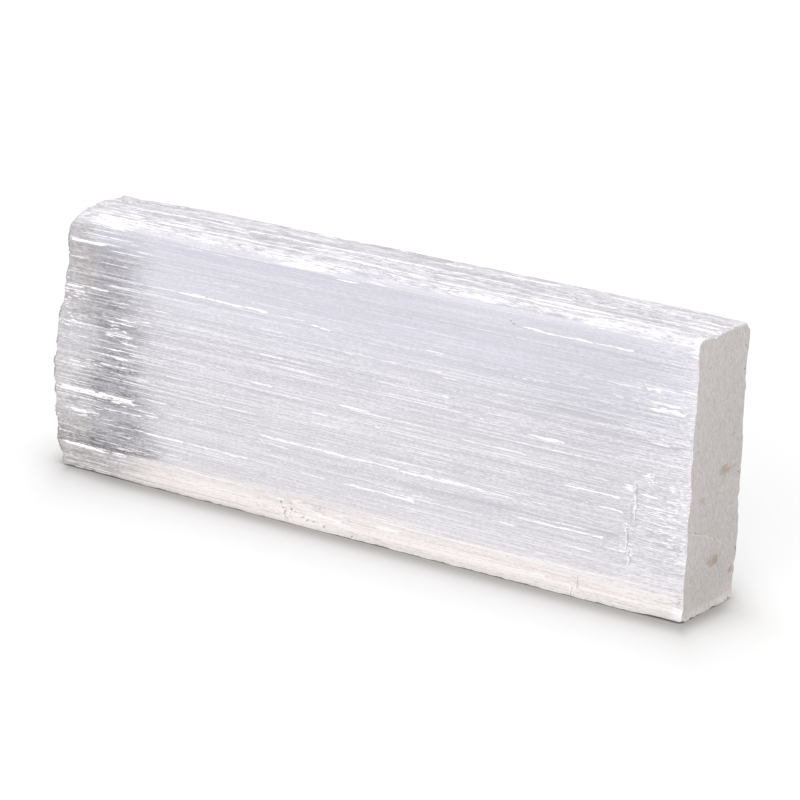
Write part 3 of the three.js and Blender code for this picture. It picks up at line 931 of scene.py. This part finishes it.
def break_zone(place, body):
    """The clear dark zone by the break, with ragged edges, and the greyer strip outside it."""
    x, z = place.x, place.z
    wander = place.strands(14, 1.6, 14, 3) * 12 - 6
    height = z + place.strands(30, 1.8, 24) * 2.4 - 1.2
    mottle = place.strands(8, 2.2, 20, 3).step(0.32, 0.62) * 0.4 + 0.77
    near_break = (x + wander - z.bell(31, 6) * 5).step(-80, -70) | z.step(14, 9)
    shifted = x + wander - z.step(28, 8) * 5 + z.step(7.6, 5.4) * 8
    zone = shifted.step(-51, -67) * near_break * height.by_height(CLEAR_BY_HEIGHT)
    fading = (x + wander * 0.5).step(-40, -63) * (x.step(-80, -66) * 0.8 + 0.2) * z.bell(28, 26)
    low_patch = x.bell(-72, 11) * z.bell(8.2, 3.2)
    body = ((zone | fading * 0.26 | low_patch * 1.1) * mottle).mix(body, CLEAR_DARK)
    body = (low_patch * 0.75).mix(body, CLEAR_DARKEST)
    strip = (x + place.strands(5, 0.8, 44) * 2 - 1).step(-71.3, -72.7) * height.by_height(GREY_BY_HEIGHT)
    patchy = place.cloud(1.3, 52, 3).step(0.35, 0.6) * 0.7 + 0.65
    return (strip * patchy).mix(body, BREAK_GREY)


# Ragged whitened areas of the front and its upper arris: middle and half width along X, then along Z, in mm
WHITENED = [
    (-67, 9, 58.9, 1.9), (-14, 12, 58.2, 0.8), (61, 9, 59.6, 1.3), (30, 10, 59.6, 0.6),
    (-40, 9, 59.4, 0.6), (-12.6, 5, 4.4, 1.3), (-6, 9, 3.2, 0.9), (10, 7, 4.2, 0.8),
    (84, 4, 59.5, 5), (83, 3, 1.4, 3), (69.5, 1.6, 26.6, 1.4), (73.8, 2.2, 29.8, 0.8),
]

# Thin dark lines of painted shade in the cracks across the fibres of the front: place along X, then lowest
# and highest Z, in mm
CRACK_LINES = [
    (71, 19.3, 27.6), (69.4, 12.9, 19), (70.3, 9.6, 12.9), (57.2, 0.2, 2), (58.2, 2, 4.6),
]

# Small dark nicks in the front: place along X and Z, then length and height, in mm
NICKS = [
    (-12.4, 2, 1.2, 0.4), (-11, 1.9, 0.7, 0.5), (-9.4, 1.8, 0.8, 0.3), (-6.2, 1.4, 0.6, 0.4),
    (-8, 4.9, 0.6, 0.4), (-18.2, 4.2, 0.5, 0.8), (-17.6, 3.2, 0.7, 0.5), (-17.1, 2.2, 0.3, 0.9),
    (-16.8, 1.2, 0.5, 0.5), (-16, 3, 0.9, 0.3), (-15.7, 2.2, 0.3, 0.7), (-16.1, 1.2, 0.6, 0.4),
    (-14.6, 2.7, 0.8, 0.3), (1.2, 0.8, 0.6, 0.4), (38.6, 56.2, 0.6, 0.5), (39.4, 55.7, 0.5, 0.4),
    (24.7, 37.9, 0.6, 0.3), (25.6, 36.8, 0.8, 0.3), (-31.8, 48.6, 0.4, 0.24), (-76, 0.9, 1.6, 0.4),
    (-73.6, 0.6, 1.2, 0.4), (-71, 0.5, 1.2, 0.4), (-66, 0.3, 2, 0.3), (82, 15.6, 0.8, 0.24),
    (81.6, 14.4, 0.3, 0.6), (83, 16.8, 0.4, 0.3), (82.6, 4.6, 0.5, 0.3),
]


def strongest(masks):
    """All the masks as one, each place taking the strongest."""
    return reduce(or_, masks)


def whitened(place):
    """Mask of the ragged whitened areas."""
    grain = place.strands(4, 0.22, 61, 2) * 3.4 - 1.7
    mask = strongest(place.x.bell(x, half_x) * place.z.bell(z, half_z) for x, half_x, z, half_z in WHITENED)
    return (mask + grain * mask.step(0, 0.3)).step(0.38, 0.6) * place.y.step(-6, -9)


def cracks(place):
    """Masks of the thin lines of painted shade in the cracks, and of the white lips beside them: fresh torn
    fibre with a painted highlight where the raised edge catches the light.
    """
    across = place.x + place.cloud(1.6, 33, 2) * 1.2 - 0.6
    uneven = place.cloud(0.9, 36, 1)
    front = place.y.step(-8, -10)
    lines, lips = [], []
    for x, low, high in CRACK_LINES:
        tall = place.z.between(low, high, 0.2)
        lines.append(across.bell(x, 0.16) * tall)
        # White lip of fresh torn fibre, partly a painted highlight where the raised edge catches the light
        lips.append(across.bell(x - 0.32, 0.26) * tall)
    line = strongest(lines) * front * uneven.step(0.3, 0.5)
    lip = strongest(lips) * front * uneven.step(0.62, 0.45)
    return line, lip


def nicks(place):
    """Mask of the small dark nicks."""
    along = place.x + place.cloud(0.9, 63, 2) * 1.4 - 0.7
    up = place.z + place.cloud(0.9, 67, 2) * 1.2 - 0.6
    mask = strongest(along.bell(x, wide) * up.bell(z, tall) for x, z, wide, tall in NICKS)
    return mask.step(0.26, 0.8) * place.y.step(-8, -10)


class Zones:
    """Masks of the parts of the split sides that look different."""

    def __init__(self, place):
        x, z = place.x, place.z
        self.top = z.step(58.4, 60)
        self.arris = z.step(57, 58.6)
        self.low = z.step(50, 36)
        self.left = x.step(-46, -62)
        self.right = x.step(64, 82)
        self.clear = x.bell(-69, 15)
        self.rough = 0.3 + self.low * 0.32 + self.right * 0.26 + self.clear * 0.4 + self.top * 0.4


def top_colour(place, body, top):
    """The top: blotched, with pale bands and darker stripes along it, and painted shade along the arris at
    its back.
    """
    x, y = place.x, place.y
    body = (top * 0.85).mix(body, TOP_PALE)
    blotch = place.strands(3, 1.3, 49, 2)
    body = (blotch.step(0.5, 0.34) * top * (0.7 - y.step(3, 7) * 0.4)).mix(body, TOP_DARK)
    body = (blotch.step(0.52, 0.68) * top * 0.8).mix(body, PALE_LINE)
    pale_band = y.bell(6.4, 1.7) * top * place.strands(12, 0.8, 85, 2).step(0.36, 0.56)
    body = (pale_band * 0.6).mix(body, PALE_LINE)
    dark_stripes = y.bell(2.6, 1.6) * place.strands(30, 2, 51, 1).step(0.36, 0.5)
    dark_stripes = dark_stripes | y.bell(-4.4, 1.2) * x.step(40, 56) | (y.bell(5, 4) * x.bell(-66, 12)).step(0, 0.5)
    body = (dark_stripes * top * (0.45 + 0.3 * x.step(30, 60))).mix(body, TOP_DARK)
    # Painted shade along the back arris
    back_arris_shade = y.step(7.5, 8.3) * top * place.strands(9, 2, 87, 2).step(0.22, 0.5)
    return (back_arris_shade * 0.65).mix(body, BACK_ARRIS_SHADE)


def arris_highlight_and_end_glow(place, body, zones):
    """Painted highlight along the upper arris, and painted glow of light coming through from the saw cut on
    the split faces beside it.
    """
    x, y = place.x, place.y
    # Painted highlight along the upper arris
    body = (zones.arris * (1 - zones.top) * 0.6).mix(body, ARRIS_HIGHLIGHT)
    # Painted glow of light coming through from the saw cut
    by_saw_cut = (x + place.strands(3, 0.9, 59, 3) * 5 - 2.5).step(79.5, 83.5)
    end_glow = by_saw_cut | x.step(70, 80) * y.step(5, 1) * zones.top
    return (end_glow * 0.6).mix(body, END_GLOW)


def streaked(place, body, hair, zones):
    """Painted silky sheen in streaks along the fibres, and single fibres, pale and dark, laid over the
    body's colour.
    """
    rough = zones.rough
    # Painted sheen: pale and dark streaks of silky gleam along the fibres
    painted_sheen = place.strands(110, 0.7, 43, 1) * 0.65 + place.strands(1.4, 0.6, 45, 1) * 0.35
    body = (painted_sheen.step(0.47, 0.6) * rough * 0.24).mix(body, PALE_LINE)
    body = (painted_sheen.step(0.47, 0.38) * rough * 0.16).mix(body, DARK_LINE)
    body = (hair.step(0.5, 0.4) * rough * 0.5).mix(body, DARK_LINE)
    return (hair.step(0.51, 0.6) * rough * (0.75 - zones.clear * 0.36)).mix(body, PALE_LINE)


def torn_streaks(place, zones):
    """Mask of the white streaks and flecks where fibres have torn away."""
    low, left, right, top, arris = zones.low, zones.left, zones.right, zones.top, zones.arris
    band = place.strands(90, 1.4, 57, 2).step(0.42, 0.6)
    broken = place.strands(1.4, 0.25, 83, 1).step(0.34, 0.44)
    rows = place.strands(30, 0.24, 71, 1).step(0.62, 0.68) * (0.1 + 0.7 * band)
    short = place.strands(2, 0.2, 77, 1).step(0.64, 0.7) * (0.15 + 0.5 * (right | top))
    bold = place.strands(20, 0.36, 79, 2).step(0.62, 0.66)
    bold = bold * (0.1 + 0.8 * (left | right * 0.5 | top | arris))
    return (rows | short | bold) * broken * (0.3 + 0.6 * (low | left | right | top | arris))


def split_face_material():
    """Silky, cloudy gypsum with white torn streaks along the fibres."""
    material, wire = start_material("satin_spar_split")
    place = Place(wire)
    zones = Zones(place)
    hair = place.strands(80, 0.22, 31, 1) * 0.5 + place.strands(7, 0.2, 32, 1) * 0.18
    hair = hair + place.strands(0.9, 0.22, 33, 0) * 0.32
    body = top_colour(place, body_colour(place), zones.top)
    body = streaked(place, arris_highlight_and_end_glow(place, body, zones), hair, zones)
    chipped = place.z.step(0.8, 0.25) * place.x.step(-40, 0) * place.cloud(1, 41, 2).step(0.3, 0.5)
    crack, lip = cracks(place)
    torn = torn_streaks(place, zones) | whitened(place) * 0.7 | lip * 0.7 | chipped * 0.8
    surface = torn.mix(body, TORN_WHITE)
    # Painted shade in the cracks
    surface = (crack * 0.85).mix(surface, CRACK_SHADE)
    surface = (nicks(place) * 0.68).mix(surface, NICK_BROWN)
    # Painted shade in the notches along the rim of the break
    rim = wire.node("ShaderNodeAttribute", {"attribute_name": "rim"}, {}, "Fac").step(0.25, 0.8)
    surface = (rim * place.cloud(1.3, 73, 2).step(0.36, 0.52) * 0.85).mix(surface, RIM_NOTCH_SHADE)
    bump = wire.node("ShaderNodeBump", {}, {"Height": hair, "Strength": 0.25, "Distance": 0.04 * MM})
    shader = wire.node("ShaderNodeBsdfPrincipled", {"subsurface_method": "RANDOM_WALK"}, {
        "Base Color": surface, "Roughness": 0.42 + torn * 0.3, "Normal": bump,
        "IOR": 1.52, "Subsurface Weight": 0.1, "Subsurface Radius": (1.0, 1.0, 1.0),
        "Subsurface Scale": 1 * MM}, "BSDF")
    finish_material(wire, shader)
    return material


# Stains and strokes on the sawn face: middle Y and Z, half width and half height, then how strong, in mm
STAINS = [
    (4.4, 30.1, 5.4, 2.6, 0.62), (1.2, 10.8, 4.8, 2.4, 0.62), (8.8, 7, 1.6, 2, 0.6),
    (-5, 25, 2.4, 1.6, 0.4), (-8, 9, 0.8, 1.4, 0.4), (-4, 22, 3, 1, 0.3), (7, 15, 2, 1.6, 0.3),
    (10.6, 11, 1, 1, 0.8),
]
STAIN_BROWN = colour(158, 140, 120)
STAIN_SLANT = 0.15
# Colours of the sawn face; its paler "foot" is painted light that lifts the shade where the face meets the
# floor
SAWN_COLOURS = {
    "back and low": colour(190, 185, 183), "front and high": colour(204, 199, 198),
    "foot": colour(222, 214, 211), "blotch": colour(199, 188, 184), "worn edge": colour(244, 240, 239),
    "dark grain": colour(172, 165, 162), "pale grain": colour(210, 205, 203),
    "dark speck": colour(176, 166, 162), "pale speck": colour(212, 207, 205),
    "scratch": colour(222, 217, 215), "crack": colour(150, 133, 118), "crack lip": colour(222, 216, 213),
}
# Small dark nicks in the sawn face: middle Y and Z, then half width, in mm
SAWN_NICKS = [
    (10.7, 11, 0.9), (9.2, 50.4, 0.5), (9.6, 49.4, 0.4), (9.4, 28.2, 0.4), (9, 29.4, 0.3),
    (6.6, 37.2, 0.4), (5.8, 37, 0.3), (1.2, 15.4, 0.4), (2.4, 23.2, 0.3), (8.8, 55.6, 0.4),
    (9.6, 55, 0.4), (-5.6, 53.6, 0.3), (8.6, 0.5, 0.5), (7.4, 0.4, 0.4),
]
SAWN_CRACK = (20, 0.357, -10.4, 4)  # height at the near end, how fast it falls, first and last Y


def stained(place, base):
    """The sawn face's colour with its brown stains."""
    ragged = place.saw_grain(0.55, 1.5, 4) * 2.8 - 1.5
    level = place.z + place.y * STAIN_SLANT
    for y, z, wide, tall, strength in STAINS:
        stain = place.y.bell(y, wide) * level.bell(z + y * STAIN_SLANT, tall)
        stain = (stain + ragged * stain.step(0, 0.35)).step(0.1, 0.9)
        base = (stain * strength).mix(base, STAIN_BROWN)
    return base


def cracked(place, base):
    """The sawn face's colour with the fine crack that slants across it, and the crack's pale lip."""
    start, fall, first, last = SAWN_CRACK
    off = place.z + (place.y - first) * fall + place.cloud(2.4, 28, 3) * 2.8 - (start + 1.4)
    along = place.y.between(first, last, 0.4)
    broken = place.cloud(1.1, 47, 1).step(0.36, 0.5)
    faint = 0.25 + 0.75 * place.y.step(-3, -8)
    base = (off.bell(-0.32, 0.3) * along * 0.4).mix(base, SAWN_COLOURS["crack lip"])
    return (off.bell(0, 0.22) * along * broken * faint * 0.75).mix(base, SAWN_COLOURS["crack"])


def sawn_face_material():
    """Matt chalky face left by the saw."""
    material, wire = start_material("satin_spar_sawn")
    place = Place(wire)
    y, z = place.y, place.z
    grain = place.saw_grain(3.2, 1.1, 3)
    speck = place.cloud(0.4, 12, 1)
    layers = {
        # Painted light: paler towards the foot, lifting the shade by the floor
        "foot": z.step(7, 0.5) * 0.8,
        "blotch": place.cloud(6, 4, 3).step(0.4, 0.62) * 0.3,
        "dark grain": grain.step(0.5, 0.7) * 0.6,
        "pale grain": grain.step(0.5, 0.32) * 0.6,
        "scratch": place.saw_grain(3.6, 0.35, 1).step(0.66, 0.73) * 0.4,
        "dark speck": speck.step(0.58, 0.72) * 0.5,
        "pale speck": speck.step(0.42, 0.28) * 0.5,
    }
    pale = z.step(36, 58) * 0.5 + y.step(2, -11) * 0.5
    base = pale.mix(SAWN_COLOURS["back and low"], SAWN_COLOURS["front and high"])
    for name, mask in layers.items():
        base = mask.mix(base, SAWN_COLOURS[name])
    base = cracked(place, stained(place, base))
    worn = z.step(2.6, 0.6) | z.step(59.6, 60.6) | y.step(-10.4, -11.2)
    base = (worn * place.cloud(0.8, 38, 2).step(0.3, 0.55) * 0.7).mix(base, SAWN_COLOURS["worn edge"])
    for nick_y, nick_z, radius in SAWN_NICKS:
        base = (place.spot_at(nick_y, nick_z, radius).step(0.1, 0.6) * 0.8).mix(base, NICK_BROWN)
    bump = wire.node("ShaderNodeBump", {}, {"Height": grain, "Strength": 0.3, "Distance": 0.04 * MM})
    shader = wire.node("ShaderNodeBsdfPrincipled", {}, {
        "Base Color": base, "Roughness": 0.85, "Normal": bump, "IOR": 1.5}, "BSDF")
    finish_material(wire, shader)
    return material


def torn_material():
    """Fresh torn fibre, from as clear as the bar to white."""
    material, wire = start_material("satin_spar_torn")
    place = Place(wire)
    white = wire.node("ShaderNodeAttribute", {"attribute_name": "white"}, {}, "Fac")
    grain = place.strands(2.4, 0.2, 10)
    base = (white * grain.step(0.28, 0.5)).mix(body_colour(place), TORN_WHITE)
    bump = wire.node("ShaderNodeBump", {}, {"Height": grain, "Strength": 0.4, "Distance": 0.05 * MM})
    shader = wire.node("ShaderNodeBsdfPrincipled", {}, {
        "Base Color": base, "Roughness": 0.6, "Normal": bump, "IOR": 1.52}, "BSDF")
    finish_material(wire, shader)
    return material


# ---------------------------------------------------------------- floor, light and camera

CAMERA_AZIMUTH = math.radians(33.59)
CAMERA_ELEVATION = math.radians(16.52)
CAMERA_ROLL = math.radians(2.41)
CAMERA_DISTANCE = 778.5 * MM
CAMERA_LENS = 161.1
CAMERA_AIM = Vector((1.6, -0.6, 30)) * MM
AIM_RIGHT = 2.91 * MM
AIM_UP = -0.56 * MM


def camera():
    """Long lens that looks down a little on the front and the sawn end."""
    data = bpy.data.cameras.new("camera")
    data.lens = CAMERA_LENS
    data.sensor_width = 36
    data.clip_start = 0.01
    made = bpy.data.objects.new("camera", data)
    bpy.context.scene.collection.objects.link(made)
    back = Vector((math.sin(CAMERA_AZIMUTH) * math.cos(CAMERA_ELEVATION),
                   -math.cos(CAMERA_AZIMUTH) * math.cos(CAMERA_ELEVATION), math.sin(CAMERA_ELEVATION)))
    level = Vector((math.cos(CAMERA_AZIMUTH), math.sin(CAMERA_AZIMUTH), 0))
    upright = back.cross(level)
    right = level * math.cos(CAMERA_ROLL) + upright * math.sin(CAMERA_ROLL)
    up = upright * math.cos(CAMERA_ROLL) - level * math.sin(CAMERA_ROLL)
    place = CAMERA_AIM + back * CAMERA_DISTANCE + right * AIM_RIGHT + up * AIM_UP
    turn = Matrix((right, up, back)).transposed().to_4x4()
    made.matrix_world = Matrix.Translation(place) @ turn
    bpy.context.scene.camera = made


# Broad soft lamps: strength, spread in degrees, and the direction the light comes from
LAMPS = {
    "overhead": (1.05, 24, (0, 0, 1)),
    "front": (1.3, 60, (0.25, -1, 0.3)),
}


def soft_lamp(name, strength, spread, source):
    """A far lamp whose light comes from a direction, softened by its spread."""
    data = bpy.data.lights.new(name, "SUN")
    data.energy = strength
    data.angle = math.radians(spread)
    made = bpy.data.objects.new(name, data)
    made.rotation_euler = Vector(source).to_track_quat("Z", "Y").to_euler()
    bpy.context.scene.collection.objects.link(made)


SKY_STRENGTH = 0.72


def studio_sky():
    """Even white light from all round."""
    world = bpy.data.worlds.new("studio")
    world.use_nodes = True
    world.node_tree.nodes["Background"].inputs["Color"].default_value = grey(1)
    world.node_tree.nodes["Background"].inputs["Strength"].default_value = SKY_STRENGTH
    bpy.context.scene.world = world


FOOT_START = 5.5 * MM  # how far in from the broken end the shade at the bar's foot begins
END_FADE = {"broken": 3.5, "back": 8}  # how far the shade draws back at the broken end and at the back

FLOOR_HALF = 6
# The shade is drawn in a plan of the floor foreshortened towards the back: its two axes, per mm of X and Y
PLAN_RIGHT = (3.8, 2.54, 0)
PLAN_NEAR = (0.72, -1.09, 0)
SHADE_REACH = 58
# Painted shadow round the bar's foot: place along its reach, then how white the floor is there
FLOOR_STOPS = [
    (0, 0.44), (0.03, 0.425), (0.048, 0.455), (0.066, 0.487), (0.084, 0.525), (0.101, 0.56), (0.136, 0.64),
    (0.172, 0.7), (0.225, 0.742), (0.296, 0.782), (0.384, 0.806), (0.526, 0.84), (0.79, 0.868), (1, 0.885),
]


def in_plan(x, y):
    """A place on the floor, in mm, as a point of the foreshortened plan."""
    spot = Vector((x, y, 0))
    return Vector((spot.dot(Vector(PLAN_RIGHT)), spot.dot(Vector(PLAN_NEAR)), 0))


def floor():
    """White table with a painted shadow round where the bar stands on it."""
    square = [(x * FLOOR_HALF, y * FLOOR_HALF, 0) for x, y in ((-1, -1), (1, -1), (1, 1), (-1, 1))]
    made = mesh_object("floor", square, [(0, 1, 2, 3)])
    made.location.z = LOW.z
    material, wire = start_material("floor_with_painted_shadow")
    place = Place(wire)
    right = wire.vector("DOT_PRODUCT", place.spot, PLAN_RIGHT, output=1)
    near = wire.vector("DOT_PRODUCT", place.spot, PLAN_NEAR, output=1)
    spot = wire.node("ShaderNodeCombineXYZ", {}, {"X": right, "Y": near})
    corners = [(x / MM, y / MM) for x, y in (
        (LOW.x + FOOT_START, LOW.y), (HIGH.x, LOW.y), (HIGH.x, HIGH.y))]
    away = None
    for start, end in zip(corners, corners[1:]):
        distance = spot.to_segment(in_plan(*start), in_plan(*end))
        away = distance if away is None else wire.math("MINIMUM", away, distance)
    away = away + place.x.step(-60, -78) * END_FADE["broken"] + place.y.step(1, 12) * END_FADE["back"]
    stops = []
    for position, share in FLOOR_STOPS:
        warmth = 1 - share / FLOOR_STOPS[-1][1]
        stops.append((position, (share, share * (1 - 0.05 * warmth), share * (1 - 0.1 * warmth), 1)))
    # Painted shadow on the floor, greyer and a little warmer nearer the bar
    shade = wire.node("ShaderNodeValToRGB", {"stops": stops}, {"Fac": away * (1 / SHADE_REACH)})
    shader = wire.node("ShaderNodeBsdfDiffuse", {}, {"Color": shade}, "BSDF")
    finish_material(wire, shader)
    made.data.materials.append(material)


# ---------------------------------------------------------------- making

bar = bar_skin()
for material in (split_face_material(), sawn_face_material()):
    bar.data.materials.append(material)
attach(bar, BODY)
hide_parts(NODE)

bar_tree = BVHTree.FromPolygons([v.co for v in bar.data.vertices], [p.vertices for p in bar.data.polygons])
torn = torn_fibres(bar_tree)
torn.data.materials.append(torn_material())
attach(torn, BODY)

camera()
for name, (strength, spread, source) in LAMPS.items():
    soft_lamp(name, strength, spread, source)
studio_sky()
floor()
bpy.context.scene.view_settings.view_transform = "Standard"
